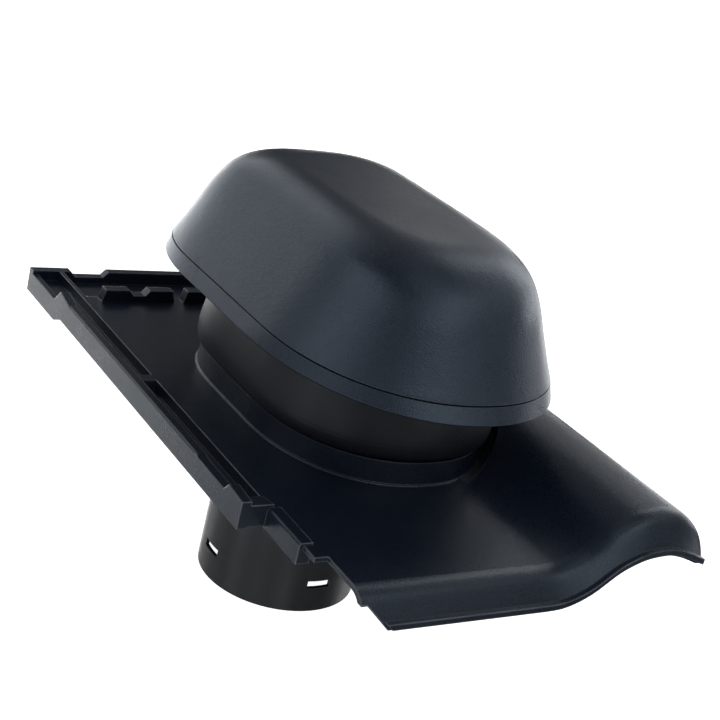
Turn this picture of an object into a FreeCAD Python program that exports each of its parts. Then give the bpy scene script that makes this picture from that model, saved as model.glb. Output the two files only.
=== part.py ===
import FreeCAD, Part
import math
import os

V = FreeCAD.Vector
os.makedirs("parts", exist_ok=True)

# ---------------------------------------------------------------- dimensions
# origin: axis of the duct spigot, at its lower rim; +Z up (tile normal),
# +X towards the roll, +Y towards the head of the tile (up the slope)
SPIGOT_R = 62.5            # outer radius, 125 mm duct
SPIGOT_T = 3.0
SPIGOT_TOP = 150.0
COLLAR_R = 66.0
COLLAR_Z = (140.0, 150.0)
SLOT_W = 19.6
SLOT_Z = (20.5, 26.5)

PAN_Z = 158.0              # upper face of the flat pan
TILE_T = 3.5
HEAD_Y = 231.0
EAVE_Y = -277.0
LIP_START_Y = -254.5
LIP_DROP = 20.0
PAN_X0 = -127.0            # left edge of the pan
PAN_X1 = 18.0              # where the roll starts to rise
SIDE_X = -149.5            # outer face of the side lock
FLANGE_X = -142.3          # inner edge of the flat flange
RIGHT_Z = 163.0            # lower edge of the roll's right side
HEM_H = 4.2                # height of the raised strip along the eave edge

UP_TOP = 181.0             # upper face of the upstand's flange
UP_LEDGE = 175.6           # ledge around it, under the foot of the drum
SEAL_T = 3.0
WELL_GAP = 4.5             # from the drum to the wall of the well in the roll
SHELF_T = 3.5
DRUM_BOT = 177.0
DRUM_TOP = 262.0
WALL = 3.0

RIM_Z = 229.0              # lower edge of the hood
SEAM_Z = 240.0             # seam between band and dome
SEAM_GAP = 0.9
DOME_H = 82.0              # from seam to the flat top

SCREW_R = 1.9
SCREW_HOLE_R = 2.1
SCREW_HEAD_R = 4.0
SCREW_HEAD_H = 2.6

# ---------------------------------------------------------------- outlines
EXPN = 2.2


def oval_pts(w, ye, yh, be, bh, z, n=EXPN, m=8, k=3):
    """Closed outline, symmetric about X = 0: straight sides, rounded ends."""
    pts = []
    q = 2.0 / n
    for i in range(-m, m + 1):                       # eave end, left to right
        t = math.pi / 2 * i / m
        s, c = abs(math.sin(t)) ** q, math.cos(t) ** q
        pts.append(V(math.copysign(w * s, i) if i else 0.0, ye + be - be * c, z))
    ya, yb = ye + be, yh - bh
    for i in range(1, k + 1):                        # right side
        pts.append(V(w, ya + (yb - ya) * i / (k + 1.0), z))
    for i in range(m, -m - 1, -1):                   # head end, right to left
        t = math.pi / 2 * i / m
        s, c = abs(math.sin(t)) ** q, math.cos(t) ** q
        pts.append(V(math.copysign(w * s, i) if i else 0.0, yh - bh + bh * c, z))
    for i in range(k, 0, -1):                        # left side
        pts.append(V(-w, ya + (yb - ya) * i / (k + 1.0), z))
    return pts


def closed_wire(pts):
    c = Part.BSplineCurve()
    c.interpolate(Points=pts, PeriodicFlag=True,
                  Parameters=[float(i) for i in range(len(pts) + 1)])
    return Part.Wire([c.toShape()])


def oval(o, z, d=0.0, n=EXPN):
    """Outline o = (w, ye, yh, be, bh) at height z, moved in by d."""
    w, ye, yh, be, bh = o
    return closed_wire(oval_pts(w - d, ye + d, yh - d, be - d, bh - d, z, n))


def loft(wires, ruled=False):
    return Part.makeLoft(wires, True, ruled)


def prism(o, z0, z1, d=0.0):
    f = Part.Face(oval(o, z0, d))
    return f.extrude(V(0, 0, z1 - z0))


BASE = (86.5, -150.4, 100.2, 103.0, 89.2)     # foot of the upstand
DRUM = (91.2, -153.2, 104.0, 98.0, 90.0)      # widest line of the drum
OPENING = (70.0, -133.9, 83.7, 86.5, 72.7)    # hole in the upstand's flange
SEAM = (103.9, -194.5, 157.8, 126.0, 105.1)   # foot of the dome
RIM = (109.0, -200.8, 161.3, 147.9, 117.3)    # lower edge of the band


def drum_in(z):
    """Inward taper of the drum's outer face at height z."""
    return max(0.0, (z - 186.0)) * 0.155


# ---------------------------------------------------------------- tile
ROLL_TOP = [(18.0, 158.0), (30.8, 158.75), (39.6, 161.05), (48.3, 164.85),
            (56.6, 170.1), (64.5, 176.7), (72.5, 183.1), (81.2, 187.9),
            (90.3, 191.5), (100.2, 193.6), (110.7, 194.5), (120.3, 194.2),
            (130.2, 191.9), (138.8, 186.8), (145.2, 179.6), (149.2, 171.4),
            (150.8, 163.0)]
ROLL_LOW = [(18.0, 138.0), (30.8, 138.7), (39.6, 140.8), (48.3, 144.3),
            (56.6, 149.1), (64.5, 155.2), (72.5, 161.1), (81.2, 165.5),
            (90.3, 168.8), (100.2, 170.6), (110.7, 171.1), (118.5, 170.3),
            (126.0, 168.6), (132.7, 166.4), (138.4, 164.2), (142.8, 162.4),
            (145.6, 161.0)]
# how late each point of the roll drops along the lip: its right side stays full
ROLL_LATE = [1.0] * 11 + [1.12, 1.35, 1.65, 1.95, 2.15, 2.25]
# side view of the eave lip: distance along -Y, share of the drop
LIP = [(0.0, 0.0), (4.5, 0.035), (8.5, 0.12), (12.0, 0.26), (15.0, 0.45),
       (18.0, 0.68), (20.5, 0.87), (22.5, 1.0)]


def lip_slope(i):
    a, b = max(i - 1, 0), min(i + 1, len(LIP) - 1)
    return math.atan2((LIP[b][1] - LIP[a][1]) * LIP_DROP, LIP[b][0] - LIP[a][0])


def roll_pts(b, inset):
    raw = [(t[0] + b ** k * (l[0] - t[0]), t[1] + b ** k * (l[1] - t[1]))
           for t, l, k in zip(ROLL_TOP, ROLL_LOW, ROLL_LATE)]
    out = []
    for i, (x, z) in enumerate(raw):
        if i == 0:
            nx, nz = 0.0, -1.0
        elif i == len(raw) - 1:
            nx, nz = -1.0, 0.0
        else:
            dx, dz = raw[i + 1][0] - raw[i - 1][0], raw[i + 1][1] - raw[i - 1][1]
            h = math.hypot(dx, dz)
            nx, nz = dz / h, -dx / h
        out.append((x + inset * nx, z + inset * nz))
    return out


def line_y(a, b, y):
    return Part.LineSegment(V(a[0], y, a[1]), V(b[0], y, b[1])).toShape()


def roll_curve(pts, y):
    c = Part.BSplineCurve()
    c.interpolate(Points=[V(x, y, z) for x, z in pts],
                  Parameters=[float(i) for i in range(len(pts))])
    return c.toShape()


def edge_at(shape, test):
    return [e for e in shape.Edges if test(e.BoundBox)]


def tile_sheet():
    """Pan, roll and rounded eave lip as one sheet of even thickness."""
    shells = []
    for t in (0.0, TILE_T):
        wires = []
        for i, (d, b) in enumerate(LIP):
            a = lip_slope(i) if i else 0.0
            p = roll_pts(b, t * math.cos(a))
            y = LIP_START_Y - d + t * math.sin(a)
            wires.append(Part.Wire([line_y((PAN_X0, p[0][1]), p[0], y), roll_curve(p, y)]))
        lip = Part.makeLoft(wires, False, False)
        run = wires[0].extrude(V(0, HEAD_Y - LIP_START_Y, 0))
        shells.append((lip, run, wires))
    faces = []
    for lip, run, wires in shells:
        faces += lip.Faces + run.Faces
    (lo, ro, wo), (li, ri, wi) = shells

    def strip(ea, eb):
        faces.extend(Part.makeRuledSurface(ea, eb).Faces)

    def left(q):
        return q.XMax < PAN_X0 + 0.01

    def right(q):
        return q.XMin > 100.0 and q.YLength > 5.0

    for so, si in ((lo, li), (ro, ri)):
        strip(edge_at(so, left)[0], edge_at(si, left)[0])
        strip(edge_at(so, right)[0], edge_at(si, right)[0])
    for k, move in ((0, HEAD_Y - LIP_START_Y), (-1, 0.0)):
        for ea, eb in zip(wo[k].OrderedEdges, wi[k].OrderedEdges):
            ea, eb = ea.copy(), eb.copy()
            ea.translate(V(0, move, 0))
            eb.translate(V(0, move, 0))
            strip(ea, eb)
    shell = Part.makeShell(faces)
    shell.sewShape(1e-4)
    solid = Part.makeSolid(shell)
    if solid.Volume < 0:
        solid.reverse()
    return solid


def tile_under():
    """Everything below the upper face of pan and roll, kept 0.6 mm under it."""
    y = 200.0
    o = roll_pts(0.0, 0.6)
    e, z = o[-1], o[0][1]
    w = Part.Wire([line_y((-118.0, z), o[0], y), roll_curve(o, y),
                   line_y(e, (e[0], 120.0), y), line_y((e[0], 120.0), (-118.0, 120.0), y),
                   line_y((-118.0, 120.0), (-118.0, z), y)])
    return Part.Face(w).extrude(V(0, -400.0, 0))


def box(x0, x1, y0, y1, z0, z1):
    return Part.makeBox(x1 - x0, y1 - y0, z1 - z0, V(x0, y0, z0))


def plate_yz(pts, x0, x1):
    w = Part.makePolygon([V(x0, y, z) for y, z in pts + pts[:1]])
    return Part.Face(w).extrude(V(x1 - x0, 0, 0))


def plate_xz(pts, y0, y1):
    w = Part.makePolygon([V(x, y0, z) for x, z in pts + pts[:1]])
    return Part.Face(w).extrude(V(0, y1 - y0, 0))


def plate_xy(pts, z0, z1):
    w = Part.makePolygon([V(x, y, z0) for x, y in pts + pts[:1]])
    return Part.Face(w).extrude(V(0, 0, z1 - z0))


def screw_spots():
    """Six places on the upstand's flange."""
    o = (76.3, -140.2, 90.0, 92.8, 79.0)
    p = oval_pts(*o, z=0)
    m = 8
    out = [p[m + 4], p[m - 4]]
    out += [V(o[0], -20, 0), V(-o[0], -20, 0)]
    h0 = 2 * m + 1 + 3
    out += [p[h0 + m - 4], p[h0 + m + 4]]
    return [(q.x, q.y) for q in out]


def hem_strip():
    """Narrow raised strip along the lower edge of the eave lip."""
    y = EAVE_Y - 0.9

    def curve(up):
        c = Part.BSplineCurve()
        c.interpolate(Points=[V(x, y, z + up) for x, z in ROLL_LOW],
                      Parameters=[float(i) for i in range(len(ROLL_LOW))])
        return c.toShape()
    e = ROLL_LOW[-1]
    h = HEM_H
    w = Part.Wire([Part.LineSegment(V(-97.5, y, 138.0), V(18, y, 138.0)).toShape(),
                   curve(0.0),
                   Part.LineSegment(V(e[0], y, e[1]), V(e[0] + 0.9, y, e[1] + 1.0)).toShape(),
                   Part.LineSegment(V(e[0] + 0.9, y, e[1] + 1.0), V(e[0] + 0.9, y, e[1] + h)).toShape(),
                   Part.LineSegment(V(e[0] + 0.9, y, e[1] + h), V(e[0], y, e[1] + h)).toShape(),
                   curve(h),
                   Part.LineSegment(V(18, y, 138.0 + h), V(-102.5, y, 138.0 + h)).toShape(),
                   Part.LineSegment(V(-102.5, y, 138.0 + h), V(-97.5, y, 138.0)).toShape()])
    return Part.Face(w).extrude(V(0, 4.4, 0))


def make_tile():
    # well around the drum where the roll rises beside it
    well = prism(DRUM, 159.5, 240.0, -WELL_GAP)
    well_out = prism(DRUM, 159.5 - TILE_T, 240.0, -WELL_GAP - TILE_T)
    skin = well_out.common(tile_under()).cut(well)
    shell = tile_sheet().cut(well).fuse(skin)
    # lowered head bay
    shell = shell.cut(box(PAN_X0 + TILE_T, 16.0, 172.0, HEAD_Y + 5, 100.0, 200))
    # left edge of the pan near the eave, and the slanted left end of the lip
    shell = shell.cut(box(-200, -117.5, -300, -225.0, 100, 200))
    shell = shell.cut(plate_xz([(-113.0, 150.5), (-98.5, 136.0), (-98.5, 60),
                                (-220, 60), (-220, 150.5)], -300, -262))

    # side lock: flat flange with a stepped outline, channel and inner wall
    flange = plate_yz([(HEAD_Y, 155.0), (172.0, 155.0), (160.5, 166.0),
                       (147.0, 163.3), (142.0, 162.4), (-100.0, 162.4),
                       (-103.5, 161.0), (-142.5, 160.6), (-148.0, 166.4),
                       (-168.0, 164.8), (-168.0, 145.4), (154.0, 145.0),
                       (167.0, 139.3), (HEAD_Y, 139.0)], SIDE_X, FLANGE_X)
    flange = flange.cut(box(-144.5, FLANGE_X + 1, 172.0, HEAD_Y - 7.5, 150.0, 170))
    flange = flange.cut(box(SIDE_X + 2.6, FLANGE_X - 1.8, -164.0, 150.0, 140, 158.5))
    flange = flange.cut(plate_xz([(SIDE_X - 0.5, 161.4), (SIDE_X, 161.4), (SIDE_X + 1.2, 162.6),
                                  (SIDE_X + 1.2, 163.0), (SIDE_X - 0.5, 163.0)], -99.0, 141.0))
    channel = box(FLANGE_X - 0.5, PAN_X0 + TILE_T, -168.0, HEAD_Y, 146.6, 150.0)
    inner = box(PAN_X0, PAN_X0 + TILE_T, -168.0, HEAD_Y, 147.0, PAN_Z)
    bridge = plate_yz([(29.5, 147.0), (27.0, PAN_Z), (18.5, PAN_Z), (16.0, 147.0)],
                      FLANGE_X - 0.5, PAN_X0 + 1)
    end = plate_yz([(-168.0, 147.0), (-168.0, 162.0), (-153.0, 159.6),
                    (-145.0, 147.0)], FLANGE_X - 0.5, PAN_X0 + 1)
    step = box(-130.0, -120.5, -211.0, -167.5, 145.0, 159.6)
    step = step.makeFillet(2.0, [ed for ed in step.Edges
                                 if abs(ed.CenterOfMass.x + 130.0) < 0.1
                                 and abs(ed.CenterOfMass.z - 159.6) < 0.1])
    step = step.cut(box(-127.0, -123.5, -208.0, -168.0, 140, 155.0))

    # head: lowered floor, wall with a notch, raised bars on the pan
    floor = box(PAN_X0, 19.0, 169.0, HEAD_Y, 144.5, 148.0)
    riser = box(PAN_X0, 19.0, 169.0, 172.0, 144.5, PAN_Z - 1.0)
    cheek = box(16.0, 19.0, 169.0, HEAD_Y, 144.5, PAN_Z - 1.0)
    wall = plate_xz([(SIDE_X, 144.5), (19.0, 144.5), (19.0, 158.3), (-83.3, 158.3),
                     (-87.8, 153.6), (-112.3, 153.6), (-116.8, 158.3),
                     (SIDE_X, 158.3)], HEAD_Y - 7.5, HEAD_Y)
    bars = []
    for x0, x1 in ((-114.0, -49.5), (-42.0, 12.0)):
        mid = 0.5 * (x0 + x1)
        b = plate_xz([(x0, 157.0), (x1, 157.0), (x1 - 3.0, 168.0), (mid + 9.0, 168.0),
                      (mid + 5.0, 163.3), (mid - 5.0, 163.3), (mid - 9.0, 168.0),
                      (x0 + 3.0, 168.0)], 161.5, 170.5)
        bars.append(b)
    nibs = [box(-104.0, -72.0, 203.0, 216.0, 126.0, 145.0),
            box(-34.0, -2.0, 203.0, 216.0, 126.0, 145.0)]

    # upstand with a foot bead and an inward flange
    outer = loft([oval(BASE, PAN_Z - 2.0), oval(BASE, UP_LEDGE, 0.4)], True)
    outer = outer.fuse(prism(BASE, PAN_Z - 2.0, UP_TOP, 5.0))
    bead = loft([oval(BASE, PAN_Z - 2.0, -1.1), oval(BASE, PAN_Z + 0.5, -1.1),
                 oval(BASE, PAN_Z + 1.3, -0.2)], True)
    hollow = loft([oval(BASE, 140.0, 3.0), oval(BASE, UP_LEDGE - 4.0, 3.9),
                   oval(BASE, UP_TOP - 3.5, 8.2)], True)
    hole = prism(OPENING, 140.0, 200.0)
    tile = shell.multiFuse([flange, channel, inner, bridge, end, step, floor, riser,
                            cheek, wall, outer, bead] + bars + nibs)
    boss = []
    drill = []
    for x, y in screw_spots():
        boss.append(Part.makeCylinder(4.8, UP_TOP - 1.0 - 166.0, V(x, y, 166.0)))
        drill.append(Part.makeCylinder(SCREW_HOLE_R, 14.0, V(x, y, UP_TOP - 13.0)))
    tile = tile.cut(hollow).cut(hole).multiFuse(boss)
    for d in drill:
        tile = tile.cut(d)

    # hem along the eave edge
    tile = tile.fuse(hem_strip())
    return tile.removeSplitter()


# ---------------------------------------------------------------- duct body
def circle_pts(r, z, m=8, k=3):
    """Circle with its points in the same order as oval_pts."""
    a = [-90.0 + 75.0 * i / m for i in range(-m, m + 1)]
    a += [-15.0 + 30.0 * i / (k + 1.0) for i in range(1, k + 1)]
    a += [90.0 - 75.0 * i / m for i in range(m, -m - 1, -1)]
    a += [180.0 + 15.0 - 30.0 * i / (k + 1.0) for i in range(k, 0, -1)]
    return [V(r * math.cos(math.radians(t)), r * math.sin(math.radians(t)), z) for t in a]


# height, inset of the drum's rounded foot
DRUM_FOOT = [(177.0, 4.2), (177.4, 3.4), (178.1, 2.7), (179.3, 2.0), (181.2, 1.35),
             (183.6, 0.9), (186.4, 0.68), (189.4, 0.75), (193.0, 1.1), (200.0, 2.17)]


def drum_loft(d, z0, z_top):
    """Drum with a rounded foot, moved in by d, from z0 to z_top."""
    w = [oval(DRUM, z0, DRUM_FOOT[0][1] + 0.73 * d)] if z0 < DRUM_FOOT[0][0] else []
    w += [oval(DRUM, z, i + d * (1.0 - 0.27 * min(1.0, max(0.0, (186.0 - z) / 9.0))))
          for z, i in DRUM_FOOT]
    w.append(oval(DRUM, z_top, drum_in(z_top) + d))
    return loft(w, True)


def make_duct():
    shelf_z = UP_TOP + SEAL_T
    drum = drum_loft(0.0, DRUM_BOT, DRUM_TOP).cut(drum_loft(WALL, DRUM_BOT - 2.0, DRUM_TOP + 3.0))
    shelf = prism(DRUM, shelf_z, shelf_z + SHELF_T, 1.5)
    mouth = (65.0, -127.5, 77.5, 81.0, 67.5)
    f_out = loft([closed_wire(circle_pts(65.0, 147.0)), closed_wire(circle_pts(65.0, 150.0)),
                  oval(mouth, shelf_z + SHELF_T, 0.0)], True)
    f_in = loft([closed_wire(circle_pts(61.5, 149.0)), closed_wire(circle_pts(61.5, 152.0)),
                 oval(mouth, shelf_z + SHELF_T + 0.01, 3.2)], True)
    pipe = Part.makeCylinder(SPIGOT_R, SPIGOT_TOP)
    collar = Part.makeCylinder(COLLAR_R, COLLAR_Z[1] - COLLAR_Z[0], V(0, 0, COLLAR_Z[0]))
    body = drum.multiFuse([shelf, f_out, pipe, collar])
    top_cut = oval((mouth[0] - 3.2, mouth[1] + 3.2, mouth[2] - 3.2, mouth[3] - 3.2, mouth[4] - 3.2),
                   shelf_z + SHELF_T - 0.5)
    body = body.cut(f_in).cut(Part.Face(top_cut).extrude(V(0, 0, 3)))
    body = body.cut(Part.makeCylinder(SPIGOT_R - SPIGOT_T, SPIGOT_TOP + 1.0, V(0, 0, -1)))
    for a in range(4):
        s = box(SPIGOT_R - 12, SPIGOT_R + 12, -SLOT_W / 2, SLOT_W / 2, SLOT_Z[0], SLOT_Z[1])
        s.rotate(V(0, 0, 0), V(0, 0, 1), 90 * a)
        body = body.cut(s)
    for x, y in screw_spots():
        body = body.cut(Part.makeCylinder(SCREW_HOLE_R, 10, V(x, y, shelf_z - 2)))
    for sx in (-1, 1):
        for y in HOOD_SCREW_Y:
            body = body.cut(Part.makeCylinder(SCREW_HOLE_R, 30, V(sx * 70, y, HOOD_SCREW_Z), V(sx, 0, 0)))
    return body.removeSplitter()


HOOD_SCREW_Y = (-48.0, 2.0)
HOOD_SCREW_Z = 250.0
SLEEVE_Z = (243.0, 257.0)
SLEEVE_GAP = 0.3
SLEEVE_T = 2.6


def make_seal():
    z = UP_TOP
    s = prism(BASE, z, z + SEAL_T, 5.4).cut(prism(OPENING, z - 1, z + SEAL_T + 1, -0.5))
    for x, y in screw_spots():
        s = s.cut(Part.makeCylinder(2.5, 10, V(x, y, z - 2)))
    return s


def screw(length):
    """Pan-head screw along -Z, seat of the head at the origin."""
    head = Part.makeCylinder(SCREW_HEAD_R, SCREW_HEAD_H)
    head = head.makeFillet(1.0, [e for e in head.Edges if abs(e.CenterOfMass.z - SCREW_HEAD_H) < 1e-6])
    cross = box(-2.2, 2.2, -0.5, 0.5, SCREW_HEAD_H - 1.2, SCREW_HEAD_H + 1)
    cross2 = cross.copy()
    cross2.rotate(V(0, 0, 0), V(0, 0, 1), 90)
    shank = Part.makeCylinder(SCREW_R, length - 2.0, V(0, 0, -(length - 2.0)))
    tip = Part.makeCone(0.5, SCREW_R, 2.0, V(0, 0, -length))
    return head.cut(cross).cut(cross2).fuse(shank).fuse(tip).removeSplitter()


def make_duct_screws():
    z = UP_TOP + SEAL_T + SHELF_T
    out = []
    for x, y in screw_spots():
        s = screw(16.0)
        s.translate(V(x, y, z))
        out.append(s)
    return Part.makeCompound(out)


# ---------------------------------------------------------------- hood
def prof(h, a, rho, H):
    """Inset at height h: wall drafted by a, then an arc of radius rho to the top."""
    ht = H - rho + rho * math.sin(a)
    if h <= ht:
        return h * math.tan(a)
    dc = (H - rho) * math.tan(a) + rho / math.cos(a)
    return dc - math.sqrt(max(rho * rho - (h - (H - rho)) ** 2, 0.0))


SIDE = (math.radians(26.0), 40.0)
EAVE = (math.radians(23.2), 63.7)
HEAD = (math.radians(29.6), 84.2)


def dome_outline(h, t=0.0):
    """Plan outline of the dome at height h above the seam, moved in by t."""
    H = DOME_H - t
    k = max(h, 0.0) / DOME_H
    tt = t / math.cos(math.radians(25))
    w = SEAM[0] - (h * math.tan(SIDE[0]) if h < 0 else prof(h, SIDE[0], SIDE[1] - t, H)) - tt
    ye = SEAM[1] + (h * math.tan(EAVE[0]) if h < 0 else prof(h, EAVE[0], EAVE[1] - t, H)) + tt
    yh = SEAM[2] - (h * math.tan(HEAD[0]) if h < 0 else prof(h, HEAD[0], HEAD[1] - t, H)) - tt
    be = SEAM[3] + (88.0 - SEAM[3]) * k - tt
    bh = SEAM[4] + (50.0 - SEAM[4]) * k - tt
    n = EXPN + 0.58 * k * k
    return w, ye, yh, be, bh, n


def dome_wire(h, t=0.0):
    w, ye, yh, be, bh, n = dome_outline(h, t)
    return closed_wire(oval_pts(w, ye, yh, be, bh, SEAM_Z + h, n))


def dome_volume(t, h0):
    H = DOME_H - t
    hs = [h0, 6.0, 16.0, 28.0, 40.0]
    # from 40 up, closer steps towards the flat top
    top = H - 40.0
    for i in range(1, 13):
        hs.append(40.0 + top * math.sin(math.pi / 2 * i / 12.0) if i < 12 else H)
    return loft([dome_wire(h, t) for h in hs])


def make_cover():
    outer = dome_volume(0.0, SEAM_GAP)
    inner = dome_volume(WALL, -4.0)
    cover = outer.cut(inner)
    # rows of short narrow slits, pressed into the right shoulder
    slits = []
    for j, (x, n) in enumerate(((50.0, 7), (57.0, 6), (64.0, 7))):
        for i in range(n):
            y0 = -128.0 + 4.0 * (j % 2) + 22.0 * i
            slits.append(box(x - 0.7, x + 0.7, y0, y0 + 14.0 - 2.0 * (j % 2), 300.0, 330.0))
    floor = dome_volume(1.0, -4.0)
    cutter = Part.makeCompound([s.cut(floor) for s in slits])
    cover = cover.cut(cutter)
    return cover


def make_frame():
    # band below the seam
    band = loft([oval(RIM, RIM_Z, 0.8), oval(RIM, RIM_Z + 1.0, 0.1), oval(SEAM, SEAM_Z)], True)
    inner = loft([oval(RIM, RIM_Z - 1.0, 3.2), oval(RIM, RIM_Z + 1.0, 3.6),
                  oval(SEAM, SEAM_Z - 3.0, 4.6), oval(SEAM, SEAM_Z + 0.5, 6.2)], True)
    band = band.cut(inner)
    # ring that stands inside the foot of the dome
    gap = 0.35
    ring = loft([dome_wire(-3.5, WALL + gap), dome_wire(10.0, WALL + gap)], True)
    ring = ring.cut(loft([dome_wire(-4.5, WALL + gap + 2.4), dome_wire(11.0, WALL + gap + 2.4)], True))
    limit = loft([dome_wire(-9.0, WALL + gap + 1.2), dome_wire(24.0, WALL + gap + 1.2)], True)
    # sleeve around the drum, ribs between sleeve and ring
    z0, z1 = SLEEVE_Z
    s_in = loft([oval(DRUM, z0 - 8, drum_in(z0 - 8) - SLEEVE_GAP),
                 oval(DRUM, z1 + 8, drum_in(z1 + 8) - SLEEVE_GAP)], True)
    s_out = loft([oval(DRUM, z0, drum_in(z0) - SLEEVE_GAP - SLEEVE_T),
                  oval(DRUM, z1, drum_in(z1) - SLEEVE_GAP - SLEEVE_T)], True)
    ribs = []
    for y in (-78.0, -23.0, 32.0):
        ribs.append(box(-120, 120, y - 1.5, y + 1.5, 237.5, 249.5))
    ribs.append(box(-1.5, 1.5, -220, 190, 237.5, 249.5))
    for x, y in ((1, 1), (1, -1)):
        r = box(-1.5, 1.5, -220, 220, 237.5, 249.5)
        r.rotate(V(0, 0, 0), V(0, 0, 1), 32.0 * y)
        r.translate(V(0, -23.0, 0))
        ribs.append(r)
    web = ribs[0].multiFuse(ribs[1:]).common(limit)
    pads = []
    for sx in (-1, 1):
        for y in HOOD_SCREW_Y:
            pads.append(Part.makeCylinder(5.2, 20.0, V(sx * (HOOD_SEAT_X - 20.0), y, HOOD_SCREW_Z), V(sx, 0, 0)))
    frame = band.multiFuse([ring, s_out, web] + pads).cut(s_in)
    for sx in (-1, 1):
        for y in HOOD_SCREW_Y:
            frame = frame.cut(Part.makeCylinder(SCREW_HOLE_R, 30, V(sx * 70, y, HOOD_SCREW_Z), V(sx, 0, 0)))
    return frame.removeSplitter()


HOOD_SEAT_X = 86.5


def make_hood_screws():
    out = []
    for sx in (-1, 1):
        for y in HOOD_SCREW_Y:
            s = screw(12.0)
            s.rotate(V(0, 0, 0), V(0, 1, 0), 90.0 * sx)
            s.translate(V(sx * HOOD_SEAT_X, y, HOOD_SCREW_Z))
            out.append(s)
    return Part.makeCompound(out)


def make_grille():
    z = DRUM_TOP
    o_in = drum_in(z)
    plate = prism(DRUM, z, z + 2.2, o_in - 1.0)
    plug = prism(DRUM, z - 6.0, z + 0.5, o_in + WALL + 1.4).cut(
        prism(DRUM, z - 7.0, z + 1.0, o_in + WALL + 3.6))
    g = plate.fuse(plug)
    bars = []
    y = -134.0
    field = prism(DRUM, z - 2, z + 4, o_in + WALL + 6.0)
    while y < 88.0:
        for x0, x1 in ((-74.0, -38.0), (-35.0, -1.5), (1.5, 35.0), (38.0, 74.0)):
            b = box(x0, x1, y, y + 4.2, z - 1, z + 3).common(field)
            if b.Volume > 60:
                bars.append(b)
        y += 7.0
    return g.cut(Part.makeCompound(bars))


PARTS = [("base_tile", make_tile), ("duct_body", make_duct), ("duct_seal", make_seal),
         ("duct_screws", make_duct_screws), ("hood_frame", make_frame),
         ("hood_cover", make_cover), ("hood_screws", make_hood_screws),
         ("insect_grille", make_grille)]

for name, make in PARTS:
    shape = make()
    sol = shape.Solids
    print(name, "solids", len(sol), "valid", shape.isValid(), "volume_cm3",
          round(shape.Volume / 1000.0, 1), "box", [round(v, 1) for v in
          (shape.BoundBox.XMin, shape.BoundBox.XMax, shape.BoundBox.YMin,
           shape.BoundBox.YMax, shape.BoundBox.ZMin, shape.BoundBox.ZMax)])
    shape = sol[0] if len(sol) == 1 else Part.makeCompound(sol)
    shape.exportStep("parts/%s.step" % name)
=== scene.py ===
import math

import bpy
from mathutils import Matrix, Vector

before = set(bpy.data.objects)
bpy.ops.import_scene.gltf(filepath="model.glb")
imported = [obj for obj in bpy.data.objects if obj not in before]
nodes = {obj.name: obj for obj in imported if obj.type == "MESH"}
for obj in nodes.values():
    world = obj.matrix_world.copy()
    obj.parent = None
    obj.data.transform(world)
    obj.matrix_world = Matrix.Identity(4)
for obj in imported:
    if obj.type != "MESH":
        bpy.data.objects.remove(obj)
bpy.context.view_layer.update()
scene = bpy.context.scene


# ------------------------------------------------------------------ materials
def new_material(name):
    m = bpy.data.materials.new(name)
    m.use_nodes = True
    t = m.node_tree
    t.nodes.clear()
    out = t.nodes.new("ShaderNodeOutputMaterial")
    b = t.nodes.new("ShaderNodeBsdfPrincipled")
    t.links.new(b.outputs["BSDF"], out.inputs["Surface"])
    return m, t, b


def noise(t, vec, scale, detail=2.0, rough=0.5):
    n = t.nodes.new("ShaderNodeTexNoise")
    n.inputs["Scale"].default_value = scale
    n.inputs["Detail"].default_value = detail
    n.inputs["Roughness"].default_value = rough
    t.links.new(vec, n.inputs["Vector"])
    return n.outputs["Fac"]


def ramp(t, fac, stops):
    r = t.nodes.new("ShaderNodeValToRGB")
    e = r.color_ramp.elements
    while len(e) < len(stops):
        e.new(0.5)
    for el, (p, c) in zip(e, stops):
        el.position = p
        el.color = (c[0], c[1], c[2], 1.0)
    t.links.new(fac, r.inputs["Fac"])
    return r.outputs["Color"]


def span(t, fac, a0, a1, b0, b1):
    r = t.nodes.new("ShaderNodeMapRange")
    for k, v in (("From Min", a0), ("From Max", a1), ("To Min", b0), ("To Max", b1)):
        r.inputs[k].default_value = v
    t.links.new(fac, r.inputs["Value"])
    return r.outputs["Result"]


def mix(t, kind, fac, a, b):
    n = t.nodes.new("ShaderNodeMix")
    n.data_type = "RGBA"
    n.blend_type = kind
    for key, v in (("Factor", fac), ("A", a), ("B", b)):
        if isinstance(v, float):
            n.inputs[key].default_value = v
        elif isinstance(v, tuple):
            n.inputs[key].default_value = (*v, 1.0)
        else:
            t.links.new(v, n.inputs[key])
    return n.outputs["Result"]


def maths(t, kind, a, b):
    n = t.nodes.new("ShaderNodeMath")
    n.operation = kind
    for i, v in enumerate((a, b)):
        if isinstance(v, float):
            n.inputs[i].default_value = v
        else:
            t.links.new(v, n.inputs[i])
    return n.outputs["Value"]


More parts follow.
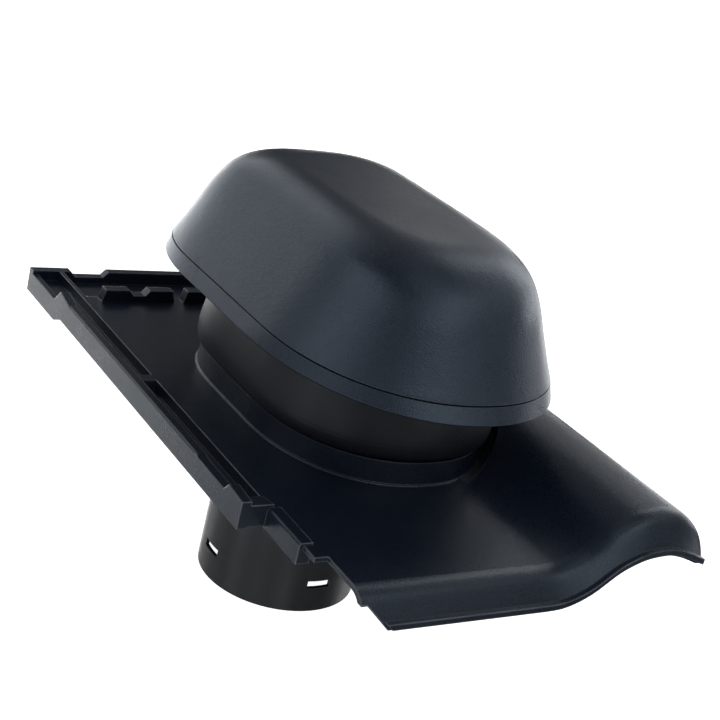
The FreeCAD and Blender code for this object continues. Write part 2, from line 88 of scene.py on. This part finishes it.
def moulded_plastic(name, low, high, wear_highlight_colour, rough, grain, grain_depth, spec, radius, tint=(1.0, 1.0, 1.0), upper=None, highlight_cut_band=None):
    """Moulded plastic with a fine eroded grain: cloudy tone, speckle, and pale convex edges that are partly
    wear and partly a painted highlight.
    """
    m, t, b = new_material(name)
    co = t.nodes.new("ShaderNodeTexCoord").outputs["Object"]
    tone = ramp(t, noise(t, co, 9.0, 4.0, 0.6), [(0.3, low), (0.7, high)])
    xyz = t.nodes.new("ShaderNodeSeparateXYZ")
    t.links.new(co, xyz.inputs["Vector"])
    if upper:
        tone = mix(t, "MIX", span(t, xyz.outputs["Z"], 0.148, 0.156, 0.0, 1.0), tone, upper)
    # speckle of the grain
    fleck = noise(t, co, grain, 2.0, 0.6)
    tone = mix(t, "MULTIPLY", 1.0, tone, ramp(t, fleck, [(0.3, (0.6, 0.6, 0.6)), (0.7, (1.4, 1.4, 1.4))]))
    # outer edges: smoother from rubbing, and paler, which is partly wear and partly a painted highlight
    rim = t.nodes.new("ShaderNodeAmbientOcclusion")
    rim.inside = True
    rim.only_local = True
    rim.samples = 6
    rim.inputs["Distance"].default_value = radius
    wear_and_highlight = maths(t, "MULTIPLY", span(t, rim.outputs["AO"], 0.93, 0.58, 0.0, 1.0),
                span(t, noise(t, co, 60.0, 3.0), 0.3, 0.6, 0.55, 1.0))
    if highlight_cut_band:                                      # heights where the painted edge highlight is faded out
        low_z, high_z = highlight_cut_band
        clear = maths(t, "MAXIMUM", span(t, xyz.outputs["Z"], low_z - 0.001, low_z, 1.0, 0.15),
                      span(t, xyz.outputs["Z"], high_z, high_z + 0.001, 0.15, 1.0))
        wear_and_highlight = maths(t, "MULTIPLY", wear_and_highlight, clear)
    # base colour: cloudy tone, with pale convex edges that are partly wear and partly a painted highlight
    t.links.new(mix(t, "MIX", wear_and_highlight, tone, wear_highlight_colour), b.inputs["Base Color"])
    gloss = maths(t, "ADD", span(t, noise(t, co, 30.0, 3.0), 0.3, 0.7, rough - 0.03, rough + 0.03),
                  span(t, fleck, 0.3, 0.7, -0.06, 0.06))
    t.links.new(maths(t, "SUBTRACT", gloss, maths(t, "MULTIPLY", wear_and_highlight, 0.06)), b.inputs["Roughness"])
    b.inputs["Specular IOR Level"].default_value = spec
    b.inputs["Specular Tint"].default_value = (*tint, 1.0)
    # rounding of the edges, then the grain on top of it
    bev = t.nodes.new("ShaderNodeBevel")
    bev.samples = 6
    bev.inputs["Radius"].default_value = radius
    bump = t.nodes.new("ShaderNodeBump")
    bump.inputs["Strength"].default_value = 0.5
    bump.inputs["Distance"].default_value = grain_depth
    t.links.new(maths(t, "ADD", fleck, maths(t, "MULTIPLY", noise(t, co, grain * 0.2, 2.0), 0.6)), bump.inputs["Height"])
    t.links.new(bev.outputs["Normal"], bump.inputs["Normal"])
    t.links.new(bump.outputs["Normal"], b.inputs["Normal"])
    return m


# fourth colour of each plastic: pale edge colour, partly wear and partly a painted highlight; the tile's
# last argument is the height band where that highlight is faded out
mat_tile = moulded_plastic("tile_plastic", (0.0065, 0.0110, 0.0220), (0.0082, 0.0135, 0.0260),
                           (0.16, 0.175, 0.20), 0.32, 1000.0, 0.00022, 0.64, 0.0011, (0.74, 0.88, 1.0), None, (0.1725, 0.1780))
mat_hood = moulded_plastic("hood_plastic", (0.0125, 0.0170, 0.0275), (0.0155, 0.0205, 0.0320),
                           (0.045, 0.05, 0.06), 0.33, 1000.0, 0.00040, 0.82, 0.0006, (0.62, 0.79, 1.0))
mat_duct = moulded_plastic("duct_plastic", (0.0075, 0.0079, 0.0090), (0.0100, 0.0104, 0.0116),
                           (0.03, 0.03, 0.032), 0.43, 1100.0, 0.00008, 0.52, 0.0006, (0.90, 0.96, 1.0), (0.0070, 0.0092, 0.0150))
mat_seal = moulded_plastic("seal_rubber", (0.008, 0.008, 0.008), (0.014, 0.014, 0.014),
                           (0.02, 0.02, 0.02), 0.62, 1200.0, 0.00008, 0.4, 0.0004)


def plated_steel(name):
    m, t, b = new_material(name)
    co = t.nodes.new("ShaderNodeTexCoord").outputs["Object"]
    t.links.new(ramp(t, noise(t, co, 180.0, 4.0), [(0.3, (0.42, 0.42, 0.43)), (0.7, (0.58, 0.58, 0.6))]), b.inputs["Base Color"])
    t.links.new(span(t, noise(t, co, 500.0, 2.0), 0.3, 0.7, 0.26, 0.42), b.inputs["Roughness"])
    b.inputs["Metallic"].default_value = 1.0
    bump = t.nodes.new("ShaderNodeBump")
    bump.inputs["Strength"].default_value = 0.2
    bump.inputs["Distance"].default_value = 0.00005
    t.links.new(noise(t, co, 900.0, 2.0), bump.inputs["Height"])
    t.links.new(bump.outputs["Normal"], b.inputs["Normal"])
    return m


mat_steel = plated_steel("screw_steel")

for node, mat in (("base_tile", mat_tile), ("duct_body", mat_duct), ("duct_seal", mat_seal),
                  ("duct_screws", mat_steel), ("hood_frame", mat_hood), ("hood_cover", mat_hood),
                  ("hood_screws", mat_steel), ("insect_grille", mat_duct)):
    me = nodes[node].data
    me.materials.clear()
    me.materials.append(mat)

# ------------------------------------------------------------------ stage
def floor_material():
    m, t, b = new_material("floor_pale")
    co = t.nodes.new("ShaderNodeTexCoord").outputs["Object"]
    t.links.new(ramp(t, noise(t, co, 3.0, 2.0), [(0.3, (0.90, 0.90, 0.90)), (0.7, (0.92, 0.92, 0.92))]), b.inputs["Base Color"])
    b.inputs["Roughness"].default_value = 0.9
    b.inputs["Specular IOR Level"].default_value = 0.0
    b.inputs["Emission Color"].default_value = (1.0, 1.0, 1.0, 1.0)
    b.inputs["Emission Strength"].default_value = 1.0
    return m


me = bpy.data.meshes.new("floor")
s = 30.0
me.from_pydata([(-s, -s, 0), (s, -s, 0), (s, s, 0), (-s, s, 0)], [], [(0, 1, 2, 3)])
floor = bpy.data.objects.new("floor", me)
me.materials.append(floor_material())
scene.collection.objects.link(floor)
floor.visible_glossy = floor.visible_diffuse = floor.visible_shadow = floor.visible_transmission = False

# ------------------------------------------------------------------ light
world = bpy.data.worlds.new("studio")
scene.world = world
world.use_nodes = True
bg = world.node_tree.nodes["Background"]
bg.inputs["Color"].default_value = (0.95, 0.97, 1.0, 1.0)
bg.inputs["Strength"].default_value = 0.034


def area(name, loc, target, size_x, size_y, power, color=(1, 1, 1)):
    d = bpy.data.lights.new(name, "AREA")
    d.shape = "RECTANGLE"
    d.size, d.size_y = size_x, size_y
    d.energy = power
    d.color = color
    o = bpy.data.objects.new(name, d)
    o.location = loc
    o.rotation_mode = "QUATERNION"
    o.rotation_quaternion = (Vector(target) - Vector(loc)).to_track_quat("-Z", "Y")
    o.visible_camera = False
    scene.collection.objects.link(o)
    return o


# ring of soft boxes around the part: azimuth, elevation, radiance
RING = ((0, -25, 2.98), (36, -25, 2.60), (72, -25, 5.20), (108, -25, 1.90), (144, -25, 1.23),
        (180, -25, 2.51), (216, -25, 2.10), (252, -25, 2.50), (288, -25, 0.65), (26, -8, 2.20),
        (51, -8, 3.70), (77, -8, 4.20), (103, -8, 3.55), (180, -8, 0.38), (206, -8, 0.80),
        (231, -8, 0.36), (257, -8, 0.39), (283, -8, 0.34), (309, -8, 1.56), (334, -8, 1.54),
        (0, 10, 2.89), (22, 10, 1.87), (45, 10, 0.60), (90, 10, 1.29), (112, 10, 1.56),
        (158, 10, 0.73), (180, 10, 0.73), (270, 10, 0.14), (292, 10, 0.40), (315, 10, 0.13),
        (338, 10, 0.44), (0, 28, 0.73), (22, 28, 2.54), (45, 28, 0.42), (68, 28, 0.17),
        (90, 28, 1.70), (112, 28, 0.92), (135, 28, 0.25), (158, 28, 1.49), (180, 28, 1.16),
        (202, 28, 0.50), (225, 28, 0.38), (248, 28, 1.16), (270, 28, 1.36), (292, 28, 0.71),
        (315, 28, 0.20), (338, 28, 0.20), (0, 48, 0.62), (30, 48, 1.43), (60, 48, 0.16),
        (90, 48, 0.13), (120, 48, 0.30), (240, 48, 0.32), (270, 48, 1.24), (300, 48, 1.45), (330, 48, 0.50),
        (60, 70, 0.29), (120, 70, 0.13), (180, 70, 0.16), (240, 70, 0.58), (300, 70, 0.46),
        (0, 89, 0.29))
CENTRE = Vector((0.0, -0.02, 0.22))
for az, el, level in RING:
    a, e = math.radians(az), math.radians(el)
    spot = CENTRE + 3.0 * Vector((math.cos(a) * math.cos(e), math.sin(a) * math.cos(e), math.sin(e)))
    area("softbox_%03d_%+03d" % (az, el), spot, CENTRE, 1.05, 0.9, level * math.pi * 1.05 * 0.9)

# ------------------------------------------------------------------ camera
R = ((0.83986832, -0.49248167, 0.22821701),
     (-0.00400129, -0.42605761, -0.90468718),
     (0.54277545, 0.75890495, -0.35980285))
cam_data = bpy.data.cameras.new("camera")
cam_data.sensor_fit = "AUTO"
cam_data.sensor_width = 36.0
cam_data.lens = 74.567
cam_data.clip_start, cam_data.clip_end = 0.01, 200.0
cam = bpy.data.objects.new("camera", cam_data)
right, up, back = Vector(R[0]), -Vector(R[1]), -Vector(R[2])
turn = Matrix((right, up, back)).transposed()
cam.rotation_mode = "QUATERNION"
cam.rotation_quaternion = turn.to_quaternion()
cam.location = (-0.586594, -0.862979, 0.591037)
scene.collection.objects.link(cam)
scene.camera = cam
scene.view_settings.view_transform = "Standard"
scene.view_settings.look = "None"

bpy.context.view_layer.update()
